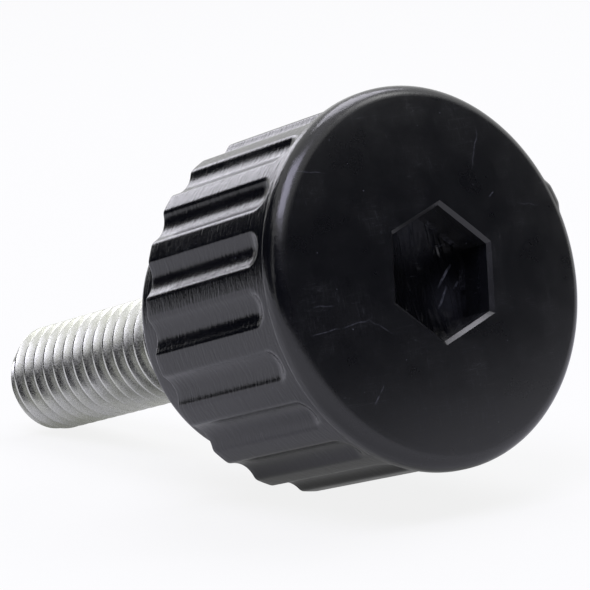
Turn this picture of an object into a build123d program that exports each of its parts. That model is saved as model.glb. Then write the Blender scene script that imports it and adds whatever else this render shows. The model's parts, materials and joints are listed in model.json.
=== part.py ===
from build123d import *
from math import acos, asin, atan2, cos, degrees, pi, radians, sin, sqrt, tan
import os

# Thumb screw with a fluted moulded knob on a threaded steel stud, lying on its side.
# Millimetres, +Z up, floor at z = 0. The screw's own axis lies in the XZ plane and climbs
# from the tip of the stud, towards -X, to the face of the knob, towards +X.
# Stations along that axis are counted from the back edge of the rim, forwards to the face.

# Stud
stud_diameter = 6.0
stud_reach = 20.0
tip_chamfer = 0.7
shank_step = 0.325
head_across_flats = 10.0
head_height = 4.0
head_chamfer_angle = 30.0

# Knob, from the face backwards
rim_diameter = 19.7
rim_wall = 0.4
rim_round = 0.9
face_crown = 0.8
rim_back_chamfer = 0.12
grip_diameter = 19.1
grip_length = 10.6
grip_draft = 0.5
hub_diameter = 14.5
hub_length = 3.9
hub_chamfer = 0.5
seat_relief = 0.2

# Flutes of the grip
flute_count = 20
flute_radius = 1.3
flute_depth = 0.38
flute_lip_round = 0.5
flute_runout = 0.8

# Socket in the face, and the plastic left between its floor and the bolt's head
socket_across_flats = 6.0
socket_depth = 2.5
socket_chamfer = 0.2
socket_turn = 48.3
dish_diameter = 5.2
dish_depth = 0.2
web_under_socket = 1.4

# Trimmed remains of the gate, on the wall of the rim
gate_width = 2.1
gate_height = 0.15
gate_wrap = 55.0
gate_turn = 108.5

# Closeness at which an edge counts as lying at a station
station_tolerance = 0.02

# Worked out: stations along the axis
face_station = rim_wall + rim_round + face_crown
socket_floor_station = face_station - socket_depth
head_front_station = socket_floor_station - dish_depth - web_under_socket
head_back_station = head_front_station - head_height
grip_back_station = -grip_length
seat_station = grip_back_station - hub_length
tip_station = seat_station - stud_reach

# Worked out: radii
stud_radius = stud_diameter / 2
shank_radius = stud_radius - shank_step
relief_radius = stud_radius + seat_relief
rim_radius = rim_diameter / 2
grip_front_radius = grip_diameter / 2
grip_back_radius = grip_front_radius - grip_length * tan(radians(grip_draft))
hub_radius = hub_diameter / 2

# Worked out: the face is an arc from the centre line that runs into the round of the rim
round_centre_radius = rim_radius - rim_round
face_radius = (round_centre_radius**2 + (face_crown + rim_round) ** 2 - rim_round**2) / (2 * face_crown)
face_slope = degrees(asin(round_centre_radius / (face_radius - rim_round)))

# Worked out: the dish in the socket's floor is a shallow part of a ball
dish_radius = ((dish_diameter / 2) ** 2 + dish_depth**2) / (2 * dish_depth)
dish_centre_station = socket_floor_station - dish_depth + dish_radius


def lip_angle(crest_radius):
    """Turn from the middle of a flute to where its rounded lip meets the crest, in degrees."""
    to_lip = crest_radius - flute_lip_round
    to_flute = crest_radius - flute_depth + flute_radius
    between = flute_radius + flute_lip_round
    return degrees(acos((to_lip**2 + to_flute**2 - between**2) / (2 * to_lip * to_flute)))


# Lying pose: a flute faces the floor, so the knob stands on the lips of the two lobes beside it,
# at the back edge of the grip, and on the first full turn of the thread at the tip.
support_turn = radians(lip_angle(grip_back_radius))
support_radius = (grip_back_radius - flute_lip_round) * cos(support_turn) + flute_lip_round
rest_tilt = atan2(support_radius - stud_radius, grip_back_station - (tip_station + tip_chamfer))
tip_drop = stud_radius * cos(rest_tilt) - (tip_station + tip_chamfer) * sin(rest_tilt)
foremost = rim_wall * cos(rest_tilt) + round_centre_radius * sin(rest_tilt) + rim_round
rearmost = tip_station * cos(rest_tilt) - (stud_radius - tip_chamfer) * sin(rest_tilt)

# Frame of the screw: z along its axis towards the face, x square to it towards the floor
axis_direction = Vector(cos(rest_tilt), 0, sin(rest_tilt))
floor_direction = Vector(sin(rest_tilt), 0, -cos(rest_tilt))
rim_centre = Vector(-(foremost + rearmost) / 2, 0, tip_drop)
screw_plane = Plane(origin=rim_centre, x_dir=floor_direction, z_dir=axis_direction)
screw_axis = Axis(rim_centre, axis_direction)


def half_plane(turn):
    """Plane through the axis, turned from the floor: x outwards and y along the axis."""
    outwards = floor_direction.rotate(screw_axis, turn)
    return Plane(origin=rim_centre, x_dir=outwards, z_dir=outwards.cross(axis_direction))


# Turned profiles are drawn through the crest of a lobe, and the gate's from one of its ends
profile_plane = half_plane(180 / flute_count)
gate_arc = degrees(gate_width / rim_radius)
gate_plane = half_plane(gate_turn - gate_arc / 2)

# Stud: a bolt at its thread's major diameter, with a chamfered tip and, inside the knob, a thinner
# shank under its head. The thread fades out into the shank just inside the seat.
with BuildPart(screw_plane) as threaded_stud:
    with BuildSketch(profile_plane):
        with BuildLine():
            Polyline(
                (0, tip_station),
                (stud_radius - tip_chamfer, tip_station),
                (stud_radius, tip_station + tip_chamfer),
                (stud_radius, seat_station),
                (shank_radius, seat_station + shank_step),
                (shank_radius, head_back_station),
                (0, head_back_station),
                close=True,
            )
        make_face()
    revolve(axis=screw_axis)
    with BuildSketch(screw_plane.offset(head_back_station)):
        RegularPolygon(head_across_flats / 2, 6, major_radius=False)
    extrude(amount=head_height)
    # The corners of the head are turned off at the front
    head_corner_radius = head_across_flats / 2 / cos(pi / 6)
    corner_fall = (head_corner_radius - head_across_flats / 2) * tan(radians(head_chamfer_angle))
    with BuildSketch(profile_plane):
        with BuildLine():
            Polyline(
                (head_across_flats / 2, head_front_station),
                (head_corner_radius, head_front_station),
                (head_corner_radius, head_front_station - corner_fall),
                close=True,
            )
        make_face()
    revolve(axis=screw_axis, mode=Mode.SUBTRACT)
threaded_stud.part.label = "threaded_stud"

# One flute as it is cut, in the screw's own frame: a round channel with a ball end behind the rim
flute_direction = Vector(sin(radians(grip_draft)), 0, cos(radians(grip_draft)))
flute_half_width = sqrt(flute_radius**2 - (flute_radius - flute_depth) ** 2)
ball_centre = Vector(grip_front_radius - flute_depth + flute_radius, 0, 0)
ball_centre -= flute_direction * (flute_runout + flute_half_width)
with BuildPart() as flute_cutter:
    with BuildSketch(Plane(origin=ball_centre, z_dir=flute_direction)):
        Circle(flute_radius)
    extrude(amount=-grip_length)
    with Locations(ball_centre):
        Sphere(flute_radius)


def at_station(edges, wanted):
    """The edges whose middle lies at one station of the screw's axis."""
    return edges.filter_by_position(screw_axis, wanted - station_tolerance, wanted + station_tolerance)


# Knob
with BuildPart() as knob:
    # Face, rim, grip and hub as one turned form
    with BuildSketch(profile_plane):
        with BuildLine():
            Polyline(
                (0, face_station),
                (0, seat_station),
                (hub_radius, seat_station),
                (hub_radius, grip_back_station),
                (grip_back_radius, grip_back_station),
                (grip_front_radius, 0),
                (rim_radius, 0),
                (rim_radius, rim_wall),
            )
            CenterArc((round_centre_radius, rim_wall), rim_round, 0, 90 - face_slope)
            CenterArc((0, face_station - face_radius), face_radius, 90 - face_slope, face_slope)
        make_face()
    revolve(axis=screw_axis)
    chamfer(at_station(edges(), 0).sort_by(SortBy.LENGTH)[-1], rim_back_chamfer)
    chamfer(at_station(edges(), seat_station), hub_chamfer)

    # Flutes, with their lips rounded
    with Locations(screw_plane):
        with PolarLocations(0, flute_count):
            add(flute_cutter.part, mode=Mode.SUBTRACT)
    fillet(edges().filter_by(GeomType.BSPLINE), flute_lip_round)

    # Socket: hexagon with a chamfered mouth, and a floor sunk to a shallow dish
    with BuildSketch(screw_plane.offset(socket_floor_station)):
        RegularPolygon(socket_across_flats / 2, 6, major_radius=False, rotation=socket_turn)
    extrude(amount=socket_depth, mode=Mode.SUBTRACT)
    chamfer(edges(Select.LAST).group_by(screw_axis)[-1], socket_chamfer)
    with BuildSketch(profile_plane):
        with BuildLine():
            CenterArc((0, dish_centre_station), dish_radius, -90, degrees(asin(dish_diameter / 2 / dish_radius)))
            Polyline(
                (dish_diameter / 2, socket_floor_station),
                (0, socket_floor_station),
                (0, socket_floor_station - dish_depth),
            )
        make_face()
    revolve(axis=screw_axis, mode=Mode.SUBTRACT)

    # Trimmed remains of the gate, following the wall and the round of the rim
    with BuildSketch(gate_plane):
        with BuildLine():
            Polyline(
                (round_centre_radius, rim_wall),
                (round_centre_radius, rim_back_chamfer),
                (rim_radius + gate_height, rim_back_chamfer),
                (rim_radius + gate_height, rim_wall),
            )
            gate_edge = CenterArc((round_centre_radius, rim_wall), rim_round + gate_height, 0, gate_wrap)
            Line(gate_edge @ 1, (round_centre_radius, rim_wall))
        make_face()
    revolve(axis=screw_axis, revolution_arc=gate_arc)

    # The plastic closes round the shank and the head of the stud, and is countersunk at the seat,
    # so that a plate can lie flat on it round the thread
    add(threaded_stud.part, mode=Mode.SUBTRACT)
    with BuildSketch(profile_plane):
        with BuildLine():
            Polyline(
                (shank_radius, seat_station),
                (relief_radius, seat_station),
                (shank_radius, seat_station + relief_radius - shank_radius),
                close=True,
            )
        make_face()
    revolve(axis=screw_axis, mode=Mode.SUBTRACT)
knob.part.label = "knob"

os.makedirs("parts", exist_ok=True)
export_step(threaded_stud.part, "parts/threaded_stud.step")
export_step(knob.part, "parts/knob.step")
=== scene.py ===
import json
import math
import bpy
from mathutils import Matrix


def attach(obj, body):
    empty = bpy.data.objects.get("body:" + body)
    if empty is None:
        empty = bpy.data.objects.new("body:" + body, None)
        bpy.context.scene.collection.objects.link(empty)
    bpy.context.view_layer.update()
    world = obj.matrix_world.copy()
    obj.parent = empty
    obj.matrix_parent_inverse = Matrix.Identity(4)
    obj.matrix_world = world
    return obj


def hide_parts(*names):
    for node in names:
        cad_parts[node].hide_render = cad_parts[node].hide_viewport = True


bl_info = {
    "name": "Thumb Screw Looks",
    "version": (1, 0, 0),
    "blender": (4, 5, 0),
    "location": "View3D > Sidebar > Thumb Screw",
    "description": "Dresses a thumb screw: fluted moulded knob, rolled thread, plastic and zinc finishes, stage",
    "category": "Object",
}

import bmesh
import bpy
import numpy as np
from bpy.props import FloatProperty, FloatVectorProperty, IntProperty, PointerProperty
from mathutils import Matrix, Vector

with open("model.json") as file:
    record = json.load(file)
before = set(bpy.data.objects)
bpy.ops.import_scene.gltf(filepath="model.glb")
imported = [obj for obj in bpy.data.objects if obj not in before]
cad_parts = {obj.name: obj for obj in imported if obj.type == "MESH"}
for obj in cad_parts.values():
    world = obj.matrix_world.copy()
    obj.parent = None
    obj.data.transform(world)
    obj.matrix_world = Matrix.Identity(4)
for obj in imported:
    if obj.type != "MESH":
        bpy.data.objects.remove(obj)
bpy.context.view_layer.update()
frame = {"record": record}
MM = 0.001

# The screw's own frame: z along its axis from the tip to the face, x square to it towards the floor,
# stations counted from the back edge of the rim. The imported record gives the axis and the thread's middle.
THREAD = next(m for m in frame["record"]["mounts"] if m["name"] == "thread")
AXIS = -Vector(THREAD["axis"]).normalized()
THREAD_MIDDLE_STATION = -24.15 * MM
RIM_CENTRE = Vector(THREAD["pos_m"]) - AXIS * THREAD_MIDDLE_STATION
TO_FLOOR = Vector((0, 1, 0)).cross(AXIS)
SCREW_TO_WORLD = Matrix.Translation(RIM_CENTRE) @ Matrix((TO_FLOOR, (0, 1, 0), AXIS)).transposed().to_4x4()

# Turns round the axis, counted from the floor
GATE_TURN = math.radians(108.5)
SOCKET_TURN = math.radians(48.3)

# The gate follows the rim's round up to its wrap, and sinks into it over its fade
GATE_WRAP = math.radians(55)
GATE_END = math.radians(58)
GATE_FADE = math.radians(25)

# Distances closer than this are one point, in metres
WELD = 1e-7


def linear(code):
    """An sRGB hex colour as linear red, green and blue."""
    parts = [int(code[i : i + 2], 16) / 255 for i in (1, 3, 5)]
    return tuple(p / 12.92 if p <= 0.04045 else ((p + 0.055) / 1.055) ** 2.4 for p in parts)


def length(name, description, millimetres):
    return FloatProperty(
        name=name, description=description, default=millimetres * MM, min=0, unit="LENGTH", precision=5
    )


def colour(name, description, code):
    return FloatVectorProperty(
        name=name, description=description, default=linear(code), size=3, min=0, max=1, subtype="COLOR"
    )


class KnobSizes(bpy.types.PropertyGroup):
    """Sizes and colours of the moulded knob."""

    rim_radius: length("Rim radius", "Radius of the rim round the face", 9.85)
    rim_wall: length("Rim wall", "Straight part of the rim's wall", 0.4)
    rim_round: length("Rim round", "Radius that turns the rim's wall into the face", 0.9)
    rim_back_round: length("Rim back round", "Eased back edge of the rim", 0.12)
    crown: length("Crown", "Rise of the domed face above the rim's round", 0.8)
    grip_front_radius: length("Grip front radius", "Radius over the lobes behind the rim", 9.55)
    grip_back_radius: length("Grip back radius", "Radius over the lobes at the back edge", 9.4575)
    grip_length: length("Grip length", "From the rim's back edge to the grip's back edge", 10.6)
    grip_back_round: length("Grip back round", "Eased wavy edge at the back of the grip", 0.12)
    hub_radius: length("Hub radius", "Plain boss behind the grip", 7.25)
    hub_length: length("Hub length", "From the grip's back edge to the seat", 3.9)
    hub_round: length("Hub round", "Eased edge of the seat", 0.5)
    relief_radius: length("Relief radius", "Radius of the countersink round the thread, at the seat", 3.2)
    relief_depth: length("Relief depth", "Depth of the countersink round the thread", 0.525)
    flute_count: IntProperty(name="Flutes", description="Flutes round the grip", default=20, min=3)
    flute_radius: length("Flute radius", "Radius of each flute's hollow", 1.3)
    flute_depth: length("Flute depth", "Depth of a flute below the lobes", 0.38)
    lip_round: length("Lip round", "Radius of the lips between flutes and lobes", 0.5)
    flute_end: length("Flute end", "Distance of the ball end's centre behind the rim", 1.7131)
    socket_across: length("Socket", "Key socket across its flats", 6.0)
    socket_depth: length("Socket depth", "Depth of the socket from the top of the face", 2.5)
    socket_chamfer: length("Socket chamfer", "Chamfer round the socket's mouth", 0.2)
    dish_radius: length("Dish", "Radius of the shallow dish in the socket's floor", 2.6)
    dish_depth: length("Dish depth", "Depth of the dish", 0.2)
    gate_width: length("Gate width", "Width of the trimmed gate on the rim", 2.1)
    gate_height: length("Gate height", "How far the trimmed gate stands out", 0.15)
    plastic: colour("Plastic", "Black of the moulded plastic", "#0d0e11")
    # Also the colour of the painted highlights and painted sheen in the socket's floor
    plastic_worn_and_sheen: colour("Worn plastic", "Grey of rubbed and dusty places, and of painted sheen", "#74767e")


class StudSizes(bpy.types.PropertyGroup):
    """Sizes and colours of the threaded stud."""

    radius: length("Radius", "Radius over the thread's crests", 3.0)
    pitch: length("Pitch", "Distance from crest to crest", 1.0)
    depth: length("Thread depth", "Depth of the thread's root below its crests", 0.6134)
    tip: length("Tip", "Station of the tip behind the rim's back edge", 34.5)
    tip_chamfer: length("Tip chamfer", "Chamfer at the tip", 0.7)
    seat: length("Seat", "Station of the knob's seat behind the rim's back edge", 14.5)
    shank_step: length("Shank step", "How much thinner the shank in the knob is than the thread", 0.325)
    head_back: length("Head back", "Station of the head's underside", 6.0)
    head_height: length("Head height", "Height of the hex head in the knob", 4.0)
    head_across: length("Head", "Hex head across its flats", 10.0)
    segments: IntProperty(name="Segments", description="Sides of the thread in one turn", default=112, min=12)
    rows: IntProperty(name="Rows", description="Rows of faces in one pitch", default=16, min=8)
    zinc: colour("Zinc", "Colour of the zinc plating", "#d2d2d2")
    zinc_shade: colour("Zinc shade", "Duller, yellower patches of the plating", "#bcbeae")
    # Painted shade: the thread's root is darkened where shade falls in it
    painted_root_shade: colour("Painted root shade", "Painted shade in the thread's root", "#3c3d38")


# ---------------------------------------------------------------- nodes


def add(tree, kind, settings=None, links=None, **sockets):
    """Adds one node: settings are its properties, sockets and links feed its inputs by name or number."""
    node = tree.nodes.new(kind)
    for key, value in (settings or {}).items():
        setattr(node, key, value)
    for key, value in sockets.items():
        node.inputs[key.replace("_", " ")].default_value = value
    for key, value in (links or {}).items():
        if isinstance(value, bpy.types.NodeSocket):
            tree.links.new(value, node.inputs[key])
        else:
            node.inputs[key].default_value = value
    return node


def maths(tree, operation, *values):
    """One Math node on sockets or numbers, and its result."""
    node = add(tree, "ShaderNodeMath", {"operation": operation}, dict(enumerate(values)))
    return node.outputs[0]


def product(tree, first, *others):
    """Everything multiplied together."""
    for other in others:
        first = maths(tree, "MULTIPLY", first, other)
    return first


def largest(tree, first, *others):
    """The largest of several values."""
    for other in others:
        first = maths(tree, "MAXIMUM", first, other)
    return first


def hypotenuse(tree, a, b):
    """Long side of a right-angled triangle."""
    return maths(tree, "SQRT", maths(tree, "ADD", product(tree, a, a), product(tree, b, b)))


def other_leg(tree, long_side, leg):
    """Short side of a right-angled triangle, or 0 where the leg is longer than the long side."""
    left = maths(tree, "SUBTRACT", product(tree, long_side, long_side), product(tree, leg, leg))
    return maths(tree, "SQRT", maths(tree, "MAXIMUM", left, 0.0))


def ranged(tree, value, low, high, at_low, at_high):
    """A value between low and high, moved between two others and held there beyond them."""
    links = {0: value, 1: low, 2: high, 3: at_low, 4: at_high}
    return add(tree, "ShaderNodeMapRange", links=links).outputs[0]


def split(tree, place):
    """The three parts of a vector."""
    return add(tree, "ShaderNodeSeparateXYZ", links={0: place}).outputs


def vector_maths(tree, operation, *values):
    """One Vector Math node, whose output is picked by name."""
    return add(tree, "ShaderNodeVectorMath", {"operation": operation}, dict(enumerate(values))).outputs


def noise(tree, place, **settings):
    """Noise from 0 to 1 at a place."""
    return add(tree, "ShaderNodeTexNoise", links={"Vector": place}, **settings).outputs[0]


def mapped(tree, place, rotation, scale):
    """Coordinates turned and stretched, so that a pattern runs in one direction."""
    return add(tree, "ShaderNodeMapping", links={"Vector": place, "Rotation": rotation, "Scale": scale}).outputs[0]


def mixed(tree, share, first, second):
    """Two colours mixed by a share of the second."""
    links = {"Factor": share, "A": first, "B": second}
    return add(tree, "ShaderNodeMix", {"data_type": "RGBA"}, links).outputs["Result"]


def bumped(tree, height, strength, distance, below=None):
    """A surface normal bent by a height, on top of the bump below it."""
    links = {"Height": height} if below is None else {"Height": height, "Normal": below}
    return add(tree, "ShaderNodeBump", links=links, Strength=strength, Distance=distance).outputs[0]


def new_material(name):
    """A material with an empty node tree, and that tree."""
    material = bpy.data.materials.new(name)
    material.use_nodes = True
    material.node_tree.nodes.clear()
    return material, material.node_tree


def surface(tree, shader, output="ShaderNodeOutputMaterial"):
    """Links a shader to the tree's output."""
    tree.links.new(shader.outputs[0], add(tree, output).inputs[0])


def node_group(name, inputs):
    """An empty Geometry Nodes tree with a geometry output and named inputs, and its two end nodes."""
    tree = bpy.data.node_groups.new(name, "GeometryNodeTree")
    tree.interface.new_socket("Geometry", in_out="OUTPUT", socket_type="NodeSocketGeometry")
    for label, kind in inputs.items():
        tree.interface.new_socket(label, in_out="INPUT", socket_type=kind)
    return tree, add(tree, "NodeGroupInput"), add(tree, "NodeGroupOutput")


def painted_end(tree, geometry, material, end):
    """Realizes the instances of a tree, sets their material and ends the tree."""
    real = add(tree, "GeometryNodeRealizeInstances", links={0: geometry}).outputs[0]
    painted = add(tree, "GeometryNodeSetMaterial", links={"Geometry": real, "Material": material}).outputs[0]
    tree.links.new(painted, end.inputs[0])
    return tree


def baked(obj, tree, values, name):
    """Runs a tree on an object and returns the result as a plain mesh object of its own."""
    modifier = obj.modifiers.new(tree.name, "NODES")
    modifier.node_group = tree
    for item in tree.interface.items_tree:
        if item.in_out == "INPUT" and item.name in values:
            modifier[item.identifier] = values[item.name]
    graph = bpy.context.evaluated_depsgraph_get()
    mesh = bpy.data.meshes.new_from_object(obj.evaluated_get(graph))
    bpy.data.objects.remove(obj)
    mesh.name = name
    return placed(name, mesh)


def placed(name, data):
    """A new object in the scene."""
    obj = bpy.data.objects.new(name, data)
    bpy.context.scene.collection.objects.link(obj)
    return obj


def finished(obj, material, sharp_angle):
    """Places a mesh drawn in the screw's own frame, points its faces outwards and shades it."""
    mesh = obj.data
    shape = bmesh.new()
    shape.from_mesh(mesh)
    bmesh.ops.remove_doubles(shape, verts=shape.verts, dist=WELD)
    bmesh.ops.dissolve_degenerate(shape, edges=shape.edges, dist=WELD)
    bmesh.ops.recalc_face_normals(shape, faces=shape.faces)
    shape.to_mesh(mesh)
    shape.free()
    mesh.transform(SCREW_TO_WORLD)
    mesh.materials.clear()
    mesh.materials.append(material)
    mesh.shade_smooth()
    mesh.set_sharp_from_angle(angle=math.radians(sharp_angle))
    return obj


def screw_coordinates(tree):
    """Object coordinates turned into the screw's own frame, in millimetres."""
    source = add(tree, "ShaderNodeTexCoord").outputs["Object"]
    turn = SCREW_TO_WORLD.to_euler()
    links = {"Vector": source, "Location": RIM_CENTRE, "Rotation": turn, "Scale": (MM, MM, MM)}
    return add(tree, "ShaderNodeMapping", {"vector_type": "TEXTURE"}, links).outputs[0]


# ---------------------------------------------------------------- knob


def flutes_tree():
    """Presses ball-ended flutes with rounded lips into a turned blank, as far as each point takes part."""
    tree, start, end = node_group(
        "Flutes",
        {
            "Geometry": "NodeSocketGeometry",
            "Count": "NodeSocketInt",
            "Flute Radius": "NodeSocketFloat",
            "Depth": "NodeSocketFloat",
            "Lip Round": "NodeSocketFloat",
            "Ball Station": "NodeSocketFloat",
            "Material": "NodeSocketMaterial",
        },
    )
    o = start.outputs
    hollow, depth, lip = o["Flute Radius"], o["Depth"], o["Lip Round"]
    place = split(tree, add(tree, "GeometryNodeInputPosition").outputs[0])
    radius = hypotenuse(tree, place[0], place[1])
    half_step = maths(tree, "DIVIDE", math.pi, o["Count"])
    turn = maths(tree, "ARCTAN2", place[1], place[0])
    turn = maths(tree, "WRAP", turn, half_step, product(tree, half_step, -1.0))
    # Distance from the flute's middle line, or from the middle of its ball end. A flute is 2% narrower
    # round the grip than on the flat, because the grip curves away.
    flat_width = 1.0186
    across = product(tree, turn, radius, flat_width)
    beyond = maths(tree, "MAXIMUM", maths(tree, "SUBTRACT", place[2], o["Ball Station"]), 0.0)
    away = hypotenuse(tree, across, beyond)
    # Where the lip's round starts and ends
    both = maths(tree, "ADD", hollow, lip)
    lip_middle = other_leg(tree, both, maths(tree, "SUBTRACT", both, depth))
    lip_start = maths(tree, "DIVIDE", product(tree, lip_middle, hollow), both)
    in_hollow = maths(tree, "SUBTRACT", other_leg(tree, hollow, away), maths(tree, "SUBTRACT", hollow, depth))
    in_lip = maths(tree, "SUBTRACT", lip, other_leg(tree, lip, maths(tree, "SUBTRACT", lip_middle, away)))
    inside = maths(tree, "LESS_THAN", away, lip_start)
    on_lip = maths(tree, "SUBTRACT", maths(tree, "LESS_THAN", away, lip_middle), inside)
    pressed = maths(tree, "ADD", product(tree, in_hollow, inside), product(tree, in_lip, on_lip))
    named = add(tree, "GeometryNodeInputNamedAttribute", {"data_type": "FLOAT"}, {"Name": "flute_share"})
    pull = maths(tree, "DIVIDE", product(tree, pressed, named.outputs[0]), maths(tree, "MAXIMUM", radius, MM))
    pulls = {i: product(tree, place[i], pull) for i in (0, 1)}
    inwards = add(tree, "ShaderNodeCombineXYZ", links=pulls).outputs[0]
    offset = add(tree, "ShaderNodeVectorMath", {"operation": "SCALE"}, {0: inwards, "Scale": -1.0}).outputs[0]
    moved = add(tree, "GeometryNodeSetPosition", links={"Geometry": o["Geometry"], "Offset": offset}).outputs[0]
    return painted_end(tree, moved, o["Material"], end)


def hexagon(angle, across, corner):
    """Radius of a hexagon in one direction."""
    step = (angle - corner + math.pi / 6) % (math.pi / 3) - math.pi / 6
    return across / 2 / math.cos(math.pi / 6 - abs(step))


def round_rows(station, radius, size, angles, share, kind=""):
    """Rows on a round about one centre, with angles counted from straight outwards towards the face."""
    return [(station + size * math.sin(a), radius + size * math.cos(a), share, kind) for a in angles]


def knob_rows(s):
    """The knob's outline from its seat to its socket, and the stations of the two middles that close it.

    Each row is (station, radius, share in the flutes, kind). A hexagon row has its width across flats in
    place of a radius, and a blend row has a circle's radius, that width and how far it is from one to the
    other. A station may be a function of the radius.
    """
    back = -s.grip_length
    seat = back - s.hub_length
    bottom = seat + s.relief_depth
    quarter = np.radians(np.arange(-90, 1, 15))
    seat_middle = 5.0 * MM
    rows = [
        (bottom, s.relief_radius - s.relief_depth, 0, ""),
        (seat, s.relief_radius, 0, ""),
        (seat, seat_middle, 0, ""),
    ]
    rows += round_rows(seat + s.hub_round, s.hub_radius - s.hub_round, s.hub_round, quarter, 0)
    # The hub's wall, with a small ease in the corner under the grip
    corner = 0.06 * MM
    wall_middle = 1.5 * MM
    rows += [
        (back - wall_middle, s.hub_radius, 0, ""),
        (back - corner, s.hub_radius, 0, ""),
        (back, s.hub_radius + corner, 0, ""),
    ]
    edge = s.grip_back_radius - s.grip_back_round
    rows += [(back, s.hub_radius + (edge - s.hub_radius) * t, t, "") for t in (0.3, 0.6, 0.85)]
    rows += round_rows(back + s.grip_back_round, edge, s.grip_back_round, quarter, 1)

    def grip(station):
        return s.grip_front_radius + (s.grip_front_radius - s.grip_back_radius) * station / s.grip_length

    # Along the grip the rows lie close together where the flutes' ball ends are
    plain = np.linspace(back + s.grip_back_round, -3.1 * MM, 16)[1:]
    ball_ends = np.arange(-3.0, -0.4, 0.07) * MM
    rows += [(z, grip(z), 1, "") for z in (*plain, *ball_ends, -0.4 * MM, -0.2 * MM, -0.05 * MM)]
    rows += [(0, grip(0) + 0.05 * MM, 0, ""), (0, s.rim_radius - s.rim_back_round, 0, "")]

    rim_edge = s.rim_radius - s.rim_back_round
    rows += round_rows(s.rim_back_round, rim_edge, s.rim_back_round, np.radians((-67.5, -45, -22.5, 0)), 0, "gate")
    middle = s.rim_radius - s.rim_round
    dome = (middle**2 + (s.crown + s.rim_round) ** 2 - s.rim_round**2) / (2 * s.crown)
    slope = math.asin(middle / (dome - s.rim_round))
    face = s.rim_wall + s.rim_round + s.crown
    for angle in np.linspace(0, math.pi / 2 - slope, 19):
        kind = "gate" if angle < GATE_WRAP else ""
        rows += round_rows(s.rim_wall, middle, s.rim_round, [angle], 0, kind)
    outer = rows[-1][1]

    def dome_station(radius):
        return face - dome + np.sqrt(dome**2 - radius**2)

    mouth = s.socket_across + 2 * s.socket_chamfer
    mouth_radius = 3.2 * MM
    wall_station = 0.9 * MM
    floor = face - s.socket_depth
    steps = (0.04, 0.1, 0.18, 0.27, 0.36, 0.45, 0.54, 0.63, 0.72, 0.8, 0.87, 0.93, 0.975, 1.0)
    rows += [(dome_station, (outer, mouth, t), 0, "blend") for t in steps]
    rows += [
        (dome_station(mouth_radius) - s.socket_chamfer, s.socket_across, 0, "hexagon"),
        (floor + wall_station, s.socket_across, 0, "hexagon"),
        (floor, s.socket_across, 0, "hexagon"),
        (floor, (s.dish_radius, s.socket_across, 0.5), 0, "blend"),
        (floor, s.dish_radius, 0, ""),
    ]
    ball = (s.dish_radius**2 + s.dish_depth**2) / (2 * s.dish_depth)
    for t in (0.8, 0.55, 0.3):
        radius = s.dish_radius * t
        rows.append((floor - s.dish_depth + ball - math.sqrt(ball**2 - radius**2), radius, 0, ""))
    return rows, (bottom, floor - s.dish_depth)


def knob_columns(s):
    """Turns of the columns: close together on the lips of the flutes, with one on each corner and gate step."""
    step = 360 / s.flute_count
    offsets = (0, 1.0, 2.0, 3.0, 3.8, 4.4, 4.8, 5.2, 5.6, 6.0, 6.4, 6.8, 7.6, 8.3, 9.0)
    turns = {round(step * k + side * x, 4) % 360 for k in range(s.flute_count) for side in (1, -1) for x in offsets}
    half = math.degrees(s.gate_width / s.rim_radius) / 2
    gate_steps = (-1, -0.85, -0.7, -0.5, -0.25, 0, 0.25, 0.5, 0.7, 0.85, 1)
    gate = [math.degrees(GATE_TURN) + half * x for x in gate_steps]
    corners = [(math.degrees(SOCKET_TURN) + 60 * k) % 360 for k in range(6)]
    closest = 0.25
    for exact in gate + corners:
        turns = {t for t in turns if abs(t - exact) > closest} | {exact}
    return np.radians(sorted(turns))


def turned_blank(s):
    """The knob as one closed mesh, still without its flutes."""
    rows, (seat, bottom) = knob_rows(s)
    turns = knob_columns(s)
    # The gate's sides rise smoothly over 0.6 of its half width
    half = s.gate_width / s.rim_radius / 2
    into_gate = np.clip((half - np.abs(turns - GATE_TURN)) / (0.6 * half), 0, 1)
    into_gate = into_gate * into_gate * (3 - 2 * into_gate)

    def socket_radii(across):
        return np.array([hexagon(a, across, SOCKET_TURN) for a in turns])

    points, shares = [(0, 0, seat)], [0.0]
    for station, radius, share, kind in rows:
        if kind == "blend":
            circle, across, t = radius
            r = circle + (socket_radii(across) - circle) * t
        elif kind == "hexagon":
            r = socket_radii(radius)
        else:
            r = np.full_like(turns, radius)
        z = station(r) if callable(station) else np.full_like(r, station)
        if kind == "gate":
            lean = math.atan2(max(station - s.rim_wall, 0), radius - (s.rim_radius - s.rim_round))
            height = s.gate_height * into_gate * min(1, (GATE_END - lean) / GATE_FADE)
            r = r + height * math.cos(lean)
            z = z + height * math.sin(lean)
        points += list(zip(r * np.cos(turns), r * np.sin(turns), z))
        shares += [share] * len(turns)
    points.append((0, 0, bottom))
    shares.append(0.0)
    n, last = len(turns), len(points) - 1
    faces = [(0, 1 + (i + 1) % n, 1 + i) for i in range(n)]
    for row in range(len(rows) - 1):
        a, b = 1 + row * n, 1 + (row + 1) * n
        faces += [(a + i, a + (i + 1) % n, b + (i + 1) % n, b + i) for i in range(n)]
    a = 1 + (len(rows) - 1) * n
    faces += [(a + i, a + (i + 1) % n, last) for i in range(n)]
    mesh = bpy.data.meshes.new("knob_blank")
    mesh.from_pydata([Vector(p) for p in points], [], faces)
    mesh.attributes.new("flute_share", "FLOAT", "POINT").data.foreach_set("value", shares)
    return placed("knob_blank", mesh)
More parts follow.
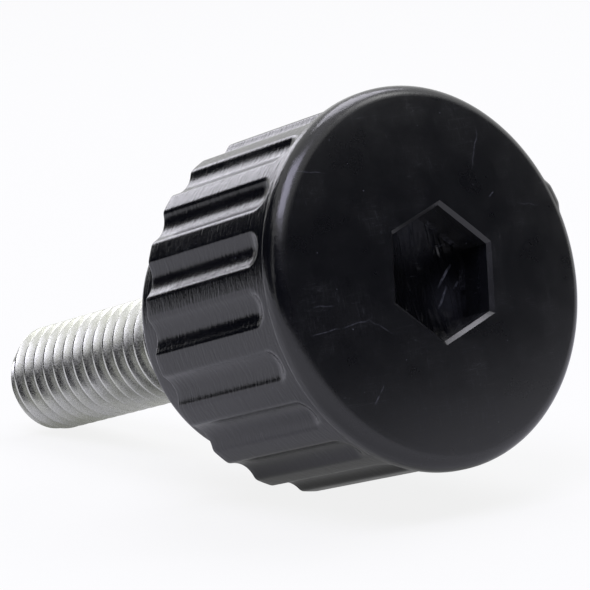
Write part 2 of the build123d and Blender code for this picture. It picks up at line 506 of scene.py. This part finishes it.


# Ends of the nicks in the face and of the painted highlight lines in the socket's floor, across the axis, in
# millimetres, with how light each looks
NICKS = (
    ((-6.99, 4.88), (-4.76, 3.62), 0.3),
    ((-3.27, 4.3), (-3.49, 4.75), 0.7),
    ((-2.77, 6.07), (-2.43, 7.9), 0.15),
    ((0.77, -8.09), (0.82, -6.86), 0.25),
    ((2.09, -8.49), (2.0, -6.66), 0.35),
    ((2.0, -6.66), (1.75, -4.72), 0.3),
    ((1.69, -5.13), (2.82, -3.69), 0.15),
    ((4.98, -4.78), (5.53, -5.06), 0.2),
    ((5.53, -5.06), (6.0, -5.55), 0.35),
    ((-6.08, -7.23), (-5.67, -5.46), 0.2),
)
# Painted highlights: bright lines painted into the socket's floor in place of reflections on its uneven surface
FLOOR_PAINTED_HIGHLIGHTS = (
    ((-2.97, 1.21), (-2.03, 2.29), 0.25),
    ((-2.03, 2.29), (-1.04, 3.37), 0.25),
    ((-0.86, 3.44), (2.37, 2.67), 0.12),
    ((-0.38, 2.78), (0.77, 1.59), 0.75),
    ((0.65, 2.29), (1.87, 1.35), 0.85),
    ((0.54, 3.0), (1.01, 2.6), 0.5),
    ((-1.26, -0.39), (-1.45, 1.32), 0.12),
    ((-1.45, 1.32), (-1.3, 2.9), 0.15),
    ((-2.63, -0.22), (-1.68, 1.99), 0.18),
)

# Painted sheen in the socket's floor, as paler spots: middle and reach across the axis, in millimetres, and how
# pale each is
FLOOR_PAINTED_SHEEN = (((-2.45, 0.4), 2.2, 0.2), ((1.56, 2.11), 1.6, 0.14))


def near_line(tree, place, start, end, half_width):
    """1 near a line across the screw, at any station, fading to 0 towards the line's ends, in millimetres."""
    middle = Vector((start[0] + end[0], start[1] + end[1], 0)) / 2
    turn = math.atan2(end[1] - start[1], end[0] - start[0])
    half_length = (Vector(end) - Vector(start)).length / 2
    links = {"Vector": place, "Location": middle, "Rotation": (0.0, 0.0, turn)}
    there = split(tree, add(tree, "ShaderNodeMapping", {"vector_type": "TEXTURE"}, links).outputs[0])
    on_line = maths(tree, "LESS_THAN", maths(tree, "ABSOLUTE", there[1]), half_width)
    within = ranged(tree, maths(tree, "ABSOLUTE", there[0]), half_length * 0.3, half_length, 1.0, 0.0)
    return product(tree, on_line, within)


def nicks_and_painted_sheen(tree, place, station):
    """Nicks in the face, and painted highlights and painted sheen in the socket's floor, as one share of the worn
    colour.
    """
    # Everything wanders a little off its straight line, and comes and goes along it
    drift = add(tree, "ShaderNodeTexNoise", links={"Vector": place}, Scale=1.2, Detail=1.0).outputs[1]
    wander = vector_maths(tree, "MULTIPLY_ADD", drift, (0.3, 0.3, 0.0), place)["Vector"]
    frayed = noise(tree, place, Scale=4.0, Detail=3.0, Roughness=0.7)
    in_face = maths(tree, "GREATER_THAN", station, 1.0)
    in_socket = maths(tree, "LESS_THAN", station, 0.0)
    marks = 0.0
    # Nicks are 0.06 mm wide and the painted highlight lines 0.12 mm
    for lines, side, half_width in ((NICKS, in_face, 0.032), (FLOOR_PAINTED_HIGHLIGHTS, in_socket, 0.06)):
        for start, end, light in lines:
            mark = product(tree, near_line(tree, wander, start, end, half_width), light, side)
            marks = maths(tree, "MAXIMUM", marks, mark)
    marks = product(tree, marks, ranged(tree, frayed, 0.35, 0.6, 0.15, 1.0))
    # Painted sheen: the floor is paler in two soft spots, painted in place of reflections
    on_floor = maths(tree, "LESS_THAN", station, -0.35)
    across = vector_maths(tree, "MULTIPLY", wander, (1.0, 1.0, 0.0))["Vector"]
    for spot, reach, light in FLOOR_PAINTED_SHEEN:
        away = vector_maths(tree, "DISTANCE", across, (*spot, 0.0))["Value"]
        pale = product(tree, ranged(tree, away, 0.0, reach, light, 0.0), on_floor)
        marks = maths(tree, "MAXIMUM", marks, product(tree, pale, maths(tree, "ADD", frayed, 0.5)))
    return marks


def moulded_plastic(s):
    """Black glass-filled nylon, injection moulded: satin, near black, with fine rubbed scratches and dust, and
    painted highlights and sheen in the socket's floor.
    """
    material, tree = new_material("black_nylon_moulded")
    place = screw_coordinates(tree)
    station = split(tree, place)[2]
    # Clouding over a few millimetres, as the moulded skin flows and gets handled
    cloud = noise(tree, place, Scale=0.45, Detail=4.0, Roughness=0.6)
    # Skin texture of a fine spark-eroded mould, about 0.12 mm from bump to bump
    skin = noise(tree, place, Scale=7.0, Detail=3.0, Roughness=0.6)
    # Hairline scratches from handling, about 0.06 mm wide and some millimetres long, in two directions
    hairlines = 0.0
    for angle, stretch in ((0.5, (0.12, 2.6, 0.5)), (-0.9, (2.2, 0.1, 0.6))):
        field = noise(tree, mapped(tree, place, (0.2, 0.3, angle), stretch), Scale=2.2, Detail=2.0, Distortion=0.4)
        from_line = maths(tree, "ABSOLUTE", maths(tree, "SUBTRACT", field, 0.5))
        hairlines = maths(tree, "MAXIMUM", hairlines, ranged(tree, from_line, 0.0, 0.006, 1.0, 0.0))
    scratches = product(tree, hairlines, ranged(tree, cloud, 0.45, 0.7, 0.0, 1.0))
    # Specks of dust, up to 0.07 mm across and of uneven strength, one on every four or five square millimetres
    cells = add(tree, "ShaderNodeTexVoronoi", links={"Vector": place}, Scale=1.5)
    strength = add(tree, "ShaderNodeSeparateColor", links={0: cells.outputs["Color"]}).outputs[0]
    strength = maths(tree, "POWER", strength, 3.0)
    dust = product(tree, maths(tree, "LESS_THAN", cells.outputs["Distance"], 0.05), strength)
    # Real dust and scratches, and the painted highlights and sheen of the socket's floor, all in the worn grey
    dust_and_sheen = maths(tree, "ADD", product(tree, dust, 0.6), product(tree, scratches, 0.16))
    dust_and_sheen = maths(tree, "MAXIMUM", dust_and_sheen, nicks_and_painted_sheen(tree, place, station))
    shade = mixed(tree, dust_and_sheen, (*s.plastic, 1), (*s.plastic_worn_and_sheen, 1))

    # The grip comes out of a polished mould and the face out of an etched one
    on_face = ranged(tree, station, 0.9, 1.3, 0.0, 1.0)
    on_grip = maths(tree, "SUBTRACT", 1.0, on_face)
    rough = ranged(tree, cloud, 0.3, 0.7, 0.13, 0.2)
    rough = maths(tree, "ADD", rough, product(tree, on_face, 0.13))
    rough = maths(tree, "ADD", rough, product(tree, scratches, 0.15))

    relief = bumped(tree, maths(tree, "SUBTRACT", skin, product(tree, scratches, 0.5)), 0.08, 0.02 * MM)
    # Fine rubbing marks round the grip, 0.15 mm apart, which fray the edges of its reflections
    rubbed = mapped(tree, place, (0.06, 0.04, 0.0), (1.4, 1.4, 7.0))
    rubbed = noise(tree, rubbed, Scale=1.0, Detail=3.0, Roughness=0.6)
    relief = bumped(tree, product(tree, rubbed, on_grip), 0.7, 0.03 * MM, relief)
    # Flow marks where the plastic closed under the core pin: the socket's floor isn't flat
    flat = vector_maths(tree, "MULTIPLY", place, (1.0, 1.0, 0.0))["Vector"]
    out = vector_maths(tree, "LENGTH", flat)["Value"]
    in_floor = product(tree, maths(tree, "LESS_THAN", out, 3.4), maths(tree, "LESS_THAN", station, 0.0))
    flow = mapped(tree, place, (0.0, 0.0, 0.75), (0.35, 1.5, 0.0))
    flow = noise(tree, flow, Scale=1.0, Detail=1.5, Roughness=0.5, Distortion=0.8)
    relief = bumped(tree, product(tree, flow, in_floor), 1.0, 0.25 * MM, relief)

    links = {"Base Color": shade, "Roughness": rough, "Normal": relief}
    surface(tree, add(tree, "ShaderNodeBsdfPrincipled", links=links, IOR=1.53))
    return material


class THUMBSCREW_OT_knob(bpy.types.Operator):
    """Turn the knob's blank, press its flutes and finish it in moulded plastic"""

    bl_idname = "thumbscrew.knob"
    bl_label = "Knob"

    def execute(self, context):
        s = context.scene.thumbscrew_knob
        plastic = moulded_plastic(s)
        values = {
            "Count": s.flute_count,
            "Flute Radius": s.flute_radius,
            "Depth": s.flute_depth,
            "Lip Round": s.lip_round,
            "Ball Station": -s.flute_end,
            "Material": plastic,
        }
        knob = finished(baked(turned_blank(s), flutes_tree(), values, "moulded_knob"), plastic, 32)
        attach(knob, "root")
        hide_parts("knob")
        return {"FINISHED"}


# ---------------------------------------------------------------- stud


def thread_tree():
    """A rolled thread with flat crests and roots, whose rows of faces follow the helix, closed at both ends."""
    tree, start, end = node_group(
        "Rolled Thread",
        {
            "Crest Radius": "NodeSocketFloat",
            "Pitch": "NodeSocketFloat",
            "Depth": "NodeSocketFloat",
            "Bottom": "NodeSocketFloat",
            "Top": "NodeSocketFloat",
            "Chamfer": "NodeSocketFloat",
            "Segments": "NodeSocketInt",
            "Rows per Pitch": "NodeSocketInt",
            "Material": "NodeSocketMaterial",
        },
    )
    o = start.outputs
    pitches = maths(tree, "DIVIDE", maths(tree, "SUBTRACT", o["Top"], o["Bottom"]), o["Pitch"])
    turns = maths(tree, "ADD", maths(tree, "CEIL", pitches), 1.0)
    grid = add(
        tree,
        "GeometryNodeMeshGrid",
        links={
            "Size X": 1.0,
            "Size Y": turns,
            "Vertices X": maths(tree, "ADD", o["Segments"], 1.0),
            "Vertices Y": maths(tree, "ADD", product(tree, turns, o["Rows per Pitch"]), 1.0),
        },
    ).outputs["Mesh"]
    place = split(tree, add(tree, "GeometryNodeInputPosition").outputs[0])
    turn = maths(tree, "ADD", place[0], 0.5)
    angle = product(tree, turn, 2 * math.pi)
    # The grid starts one turn early, so that its rows have climbed to the bottom by the end of that turn
    row = maths(tree, "SUBTRACT", maths(tree, "ADD", place[1], product(tree, turns, 0.5)), 1.0)
    raw = maths(tree, "ADD", o["Bottom"], product(tree, maths(tree, "ADD", row, turn), o["Pitch"]))
    height = maths(tree, "MINIMUM", maths(tree, "MAXIMUM", raw, o["Bottom"]), o["Top"])
    above = maths(tree, "SUBTRACT", height, o["Bottom"])
    phase = maths(tree, "SUBTRACT", maths(tree, "DIVIDE", above, o["Pitch"]), turn)
    phase = maths(tree, "FRACT", maths(tree, "ADD", phase, 4.0))
    # A ridge that runs from 0 in the root to 1 on the crest. The root is flat for a quarter of the pitch and
    # the crest for an eighth, and rolling rounds both a little.
    from_crest = maths(tree, "ABSOLUTE", maths(tree, "SUBTRACT", product(tree, phase, 2.0), 1.0))
    ridge = maths(tree, "SUBTRACT", 1.0, from_crest)
    flank = maths(tree, "DIVIDE", maths(tree, "SUBTRACT", ridge, 0.25), 0.625)
    softened = maths(tree, "SMOOTH_MIN", maths(tree, "SMOOTH_MAX", flank, 0.0, 0.25), 1.0, 0.2)
    fall = product(tree, o["Depth"], maths(tree, "SUBTRACT", 1.0, softened))
    chamfer = maths(tree, "ADD", maths(tree, "SUBTRACT", o["Crest Radius"], o["Chamfer"]), above)
    radius = maths(tree, "MINIMUM", maths(tree, "SUBTRACT", o["Crest Radius"], fall), chamfer)
    x = product(tree, radius, maths(tree, "COSINE", angle))
    y = product(tree, radius, maths(tree, "SINE", angle))
    spot = add(tree, "ShaderNodeCombineXYZ", links={0: x, 1: y, 2: height}).outputs[0]
    wound = add(tree, "GeometryNodeSetPosition", links={"Geometry": grid, "Position": spot}).outputs[0]
    welded = add(tree, "GeometryNodeMergeByDistance", links={"Geometry": wound, "Distance": 1e-6}).outputs[0]
    # Both open ends are drawn together on the axis
    neighbours = add(tree, "GeometryNodeInputMeshEdgeNeighbors").outputs[0]
    open_edges = maths(tree, "COMPARE", neighbours, 1.0, 0.1)
    links = {"Mesh": welded, "Selection": open_edges, "Offset Scale": 0.0}
    capped = add(tree, "GeometryNodeExtrudeMesh", {"mode": "EDGES"}, links).outputs
    on_axis = add(tree, "ShaderNodeCombineXYZ", links={2: place[2]}).outputs[0]
    links = {"Geometry": capped["Mesh"], "Selection": capped["Top"], "Position": on_axis}
    closed = add(tree, "GeometryNodeSetPosition", links=links).outputs[0]
    whole = add(tree, "GeometryNodeMergeByDistance", links={"Geometry": closed, "Distance": 1e-6}).outputs[0]
    return painted_end(tree, whole, o["Material"], end)


def bolt_head(s):
    """The plain shank and the hex head with its turned corners, as closed meshes."""
    shape = bmesh.new()
    shank, end = s.radius - s.shank_step, s.seat - s.shank_step
    depth = end - s.head_back
    neck = bmesh.ops.create_cone(shape, cap_ends=True, segments=48, radius1=shank, radius2=shank, depth=depth)
    bmesh.ops.translate(shape, verts=neck["verts"], vec=(0, 0, -(end + s.head_back) / 2))
    turns = np.radians(np.arange(0, 360, 2.5))
    flat = np.array([hexagon(a, s.head_across, 0) for a in turns])
    inner = s.head_across / 2
    back = -s.head_back
    top = back + s.head_height
    fall = (flat - inner) * math.tan(math.radians(30))
    rings = [
        (flat, np.full_like(flat, back)),
        (flat, top - fall),
        (np.full_like(flat, inner - 1e-6), np.full_like(flat, top)),
    ]
    verts = []
    for radii, heights in rings:
        ring = zip(radii, turns, heights)
        verts.append([shape.verts.new((r * math.cos(a), r * math.sin(a), z)) for r, a, z in ring])
    n = len(turns)
    for low, high in zip(verts, verts[1:]):
        for i in range(n):
            shape.faces.new((low[i], low[(i + 1) % n], high[(i + 1) % n], high[i]))
    shape.faces.new(verts[0][::-1])
    shape.faces.new(verts[-1])
    mesh = bpy.data.meshes.new("bolt_head")
    shape.to_mesh(mesh)
    shape.free()
    return mesh


def zinc_plated_steel(s):
    """Cold-rolled steel, bright zinc plated: a light grey metal with faint yellow-green and blue clouds, and
    painted shade in the thread's roots.
    """
    material, tree = new_material("zinc_plated_rolled_steel")
    place = screw_coordinates(tree)
    # Passivation clouds, a few millimetres across
    cloud = noise(tree, place, Scale=0.5, Detail=3.0, Roughness=0.55)
    # Grain of the plating and drag marks of the rolling dies, about 0.1 mm
    grain = noise(tree, place, Scale=9.0, Detail=4.0, Roughness=0.65)
    parts = split(tree, place)
    out = hypotenuse(tree, parts[0], parts[1])
    # Painted shade darkens the thread's root, which lies 2.4 mm from the axis, where shade falls between the flanks
    root = ranged(tree, out, 2.38, 2.75, 1.0, 0.0)
    shade = mixed(tree, cloud, (*s.zinc, 1), (*s.zinc_shade, 1))
    root_shaded = mixed(tree, product(tree, root, 0.6), shade, (*s.painted_root_shade, 1))
    rough = ranged(tree, grain, 0.3, 0.7, 0.2, 0.34)
    links = {"Base Color": root_shaded, "Roughness": rough, "Normal": bumped(tree, grain, 0.06, 0.02 * MM)}
    surface(tree, add(tree, "ShaderNodeBsdfPrincipled", links=links, Metallic=1.0))
    return material


class THUMBSCREW_OT_stud(bpy.types.Operator):
    """Roll the stud's thread, add its head and finish it in zinc plated steel"""

    bl_idname = "thumbscrew.stud"
    bl_label = "Threaded stud"

    def execute(self, context):
        s = context.scene.thumbscrew_stud
        zinc = zinc_plated_steel(s)
        values = {
            "Crest Radius": s.radius,
            "Pitch": s.pitch,
            "Depth": s.depth,
            "Bottom": -s.tip,
            "Top": -s.seat + s.shank_step,
            "Chamfer": s.tip_chamfer,
            "Segments": s.segments,
            "Rows per Pitch": s.rows,
            "Material": zinc,
        }
        holder = placed("thread_holder", bpy.data.meshes.new("thread_holder"))
        stud = baked(holder, thread_tree(), values, "zinc_stud")
        shape = bmesh.new()
        shape.from_mesh(stud.data)
        shape.from_mesh(bolt_head(s))
        shape.to_mesh(stud.data)
        shape.free()
        finished(stud, zinc, 40)
        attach(stud, "root")
        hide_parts("threaded_stud")
        return {"FINISHED"}


# ---------------------------------------------------------------- stage

# Directions are seen from here, in the middle of the knob, in metres
KNOB_PLACE = (0.01, 0, 0.01)

# Soft lights: azimuth and elevation in degrees, distance and size in metres, radiance and tint. The front one
# gives the sheen at the upper left of the rim and the back one the thin bright bands on the grip.
SOFTBOXES = {
    "top_softbox": ((130, 62), 0.5, (0.3, 0.26), 5.0, "#f4f2ff"),
    "back_softbox": ((172, 19), 0.6, (0.22, 0.12), 3.2, "#f4f2ff"),
    "front_softbox": ((-60, 62), 0.6, (0.4, 0.3), 6.0, "#e6e3ff"),
    "right_softbox": ((62, 52), 0.5, (0.14, 0.12), 5.0, "#ffffff"),
}

# Black screens: first and last azimuth, lower and upper elevation, in degrees
FLAGS = {"left_flag": ((186, 260), (0.5, 34)), "front_flag": ((-90, 75), (0.5, 38))}
FLAG_DISTANCE = 0.9

# How much of its own white glow the floor shows to the camera, and in reflections
CAMERA_GLOW = 0.86
MIRROR_GLOW = 0.3


def around(azimuth, elevation, distance):
    """A place seen from the knob in one direction, in metres."""
    a, e = math.radians(azimuth), math.radians(elevation)
    direction = (math.cos(e) * math.cos(a), math.cos(e) * math.sin(a), math.sin(e))
    return Vector([start + distance * part for start, part in zip(KNOB_PLACE, direction)])


def softbox(name, direction, distance, size, radiance, tint):
    """A rectangular soft light, turned to the knob. Radiance 1 looks white in a mirror."""
    lamp = bpy.data.lights.new(name, "AREA")
    lamp.shape = "RECTANGLE"
    lamp.size, lamp.size_y = size
    lamp.energy = radiance * math.pi * size[0] * size[1]
    lamp.color = linear(tint)
    box = placed(name, lamp)
    box.visible_camera = False
    box.location = around(*direction, distance)
    box.rotation_euler = (Vector(KNOB_PLACE) - box.location).to_track_quat("-Z", "Y").to_euler()


def seen_by(tree, rays):
    """1 for rays that look at something, straight or in a reflection, and 0 for rays that only light it."""
    return largest(tree, rays["Is Camera Ray"], rays["Is Glossy Ray"], rays["Is Transmission Ray"])


def black_flag(name, azimuths, elevations):
    """A curved black screen that the glossy plastic mirrors as its dark bands. The camera looks through it."""
    columns = np.linspace(*azimuths, 13)
    points = [around(a, e, FLAG_DISTANCE) for a in columns for e in elevations]
    faces = [(2 * i, 2 * i + 2, 2 * i + 3, 2 * i + 1) for i in range(len(columns) - 1)]
    mesh = bpy.data.meshes.new(name)
    mesh.from_pydata(points, [], faces)
    material, tree = new_material("black_velvet")
    surface(tree, add(tree, "ShaderNodeBsdfDiffuse", Color=(*linear("#0c0c0d"), 1)))
    mesh.materials.append(material)
    flag = placed(name, mesh)
    flag.visible_camera = False
    flag.visible_shadow = False


def pale_floor():
    """White laminate table: the camera sees it nearly white, and it keeps the object's soft shadow."""
    material, tree = new_material("white_table")
    rays = add(tree, "ShaderNodeLightPath").outputs
    table = add(tree, "ShaderNodeBsdfDiffuse", Color=(*linear("#e9e9e9"), 1))
    glow = add(tree, "ShaderNodeEmission", Color=(1, 1, 1, 1), Strength=1.0)
    # Mirrored in the object, the table keeps most of its own light and shadow
    to_camera = product(tree, rays["Is Camera Ray"], CAMERA_GLOW)
    seen = maths(tree, "MAXIMUM", to_camera, product(tree, seen_by(tree, rays), MIRROR_GLOW))
    surface(tree, add(tree, "ShaderNodeMixShader", links={0: seen, 1: table.outputs[0], 2: glow.outputs[0]}))
    return material


def white_surround():
    """A world that lights the object dimly and looks white, straight on and in reflections."""
    world = bpy.data.worlds.new("white_surround")
    world.use_nodes = True
    tree = world.node_tree
    tree.nodes.clear()
    rays = add(tree, "ShaderNodeLightPath").outputs
    dim = add(tree, "ShaderNodeBackground", Color=(*linear("#8c8f94"), 1), Strength=1.0)
    white = add(tree, "ShaderNodeBackground", Color=(1, 1, 1, 1), Strength=1.0)
    links = {0: seen_by(tree, rays), 1: dim.outputs[0], 2: white.outputs[0]}
    surface(tree, add(tree, "ShaderNodeMixShader", links=links), "ShaderNodeOutputWorld")
    return world


def fitted_camera():
    """The camera, at the place fitted to the rim, the flutes and the tip in the photograph."""
    camera = bpy.data.cameras.new("camera")
    camera.sensor_width = 36.0
    camera.lens = 235.6
    camera.clip_start = 0.005
    forwards = Vector((-0.7723, 0.6144, -0.1617)).normalized()
    up = Vector((-0.1006, 0.1331, 0.986))
    right = forwards.cross(up).normalized()
    up = right.cross(forwards)
    turn = Matrix((right, up, -forwards)).transposed().to_4x4()
    eye = placed("camera", camera)
    eye.matrix_world = Matrix.Translation(Vector((161.53, -124.513, 42.803)) * MM) @ turn
    return eye


class THUMBSCREW_OT_stage(bpy.types.Operator):
    """Lay the pale floor, hang the soft lights and set the camera and the white surround"""

    bl_idname = "thumbscrew.stage"
    bl_label = "Stage"

    def execute(self, context):
        shape = bmesh.new()
        bmesh.ops.create_grid(shape, x_segments=1, y_segments=1, size=1.5)
        mesh = bpy.data.meshes.new("floor")
        shape.to_mesh(mesh)
        shape.free()
        mesh.materials.append(pale_floor())
        placed("floor", mesh)
        for name, settings in SOFTBOXES.items():
            softbox(name, *settings)
        for name, reach in FLAGS.items():
            black_flag(name, *reach)
        context.scene.world = white_surround()
        context.scene.view_settings.view_transform = "Standard"
        context.scene.camera = fitted_camera()
        return {"FINISHED"}


class THUMBSCREW_PT_panel(bpy.types.Panel):
    """Lists the steps that dress the thumb screw"""

    bl_idname = "THUMBSCREW_PT_panel"
    bl_label = "Thumb Screw"
    bl_space_type = "VIEW_3D"
    bl_region_type = "UI"
    bl_category = "Thumb Screw"

    def draw(self, context):
        for operator in OPERATORS:
            self.layout.operator(operator.bl_idname)


OPERATORS = (THUMBSCREW_OT_knob, THUMBSCREW_OT_stud, THUMBSCREW_OT_stage)
CLASSES = (KnobSizes, StudSizes, *OPERATORS, THUMBSCREW_PT_panel)


def register():
    for cls in CLASSES:
        bpy.utils.register_class(cls)
    bpy.types.Scene.thumbscrew_knob = PointerProperty(type=KnobSizes)
    bpy.types.Scene.thumbscrew_stud = PointerProperty(type=StudSizes)


def unregister():
    del bpy.types.Scene.thumbscrew_stud
    del bpy.types.Scene.thumbscrew_knob
    for cls in reversed(CLASSES):
        bpy.utils.unregister_class(cls)


def main():
    register()
    bpy.ops.thumbscrew.knob()
    bpy.ops.thumbscrew.stud()
    bpy.ops.thumbscrew.stage()


if __name__ == "__main__":
    main()
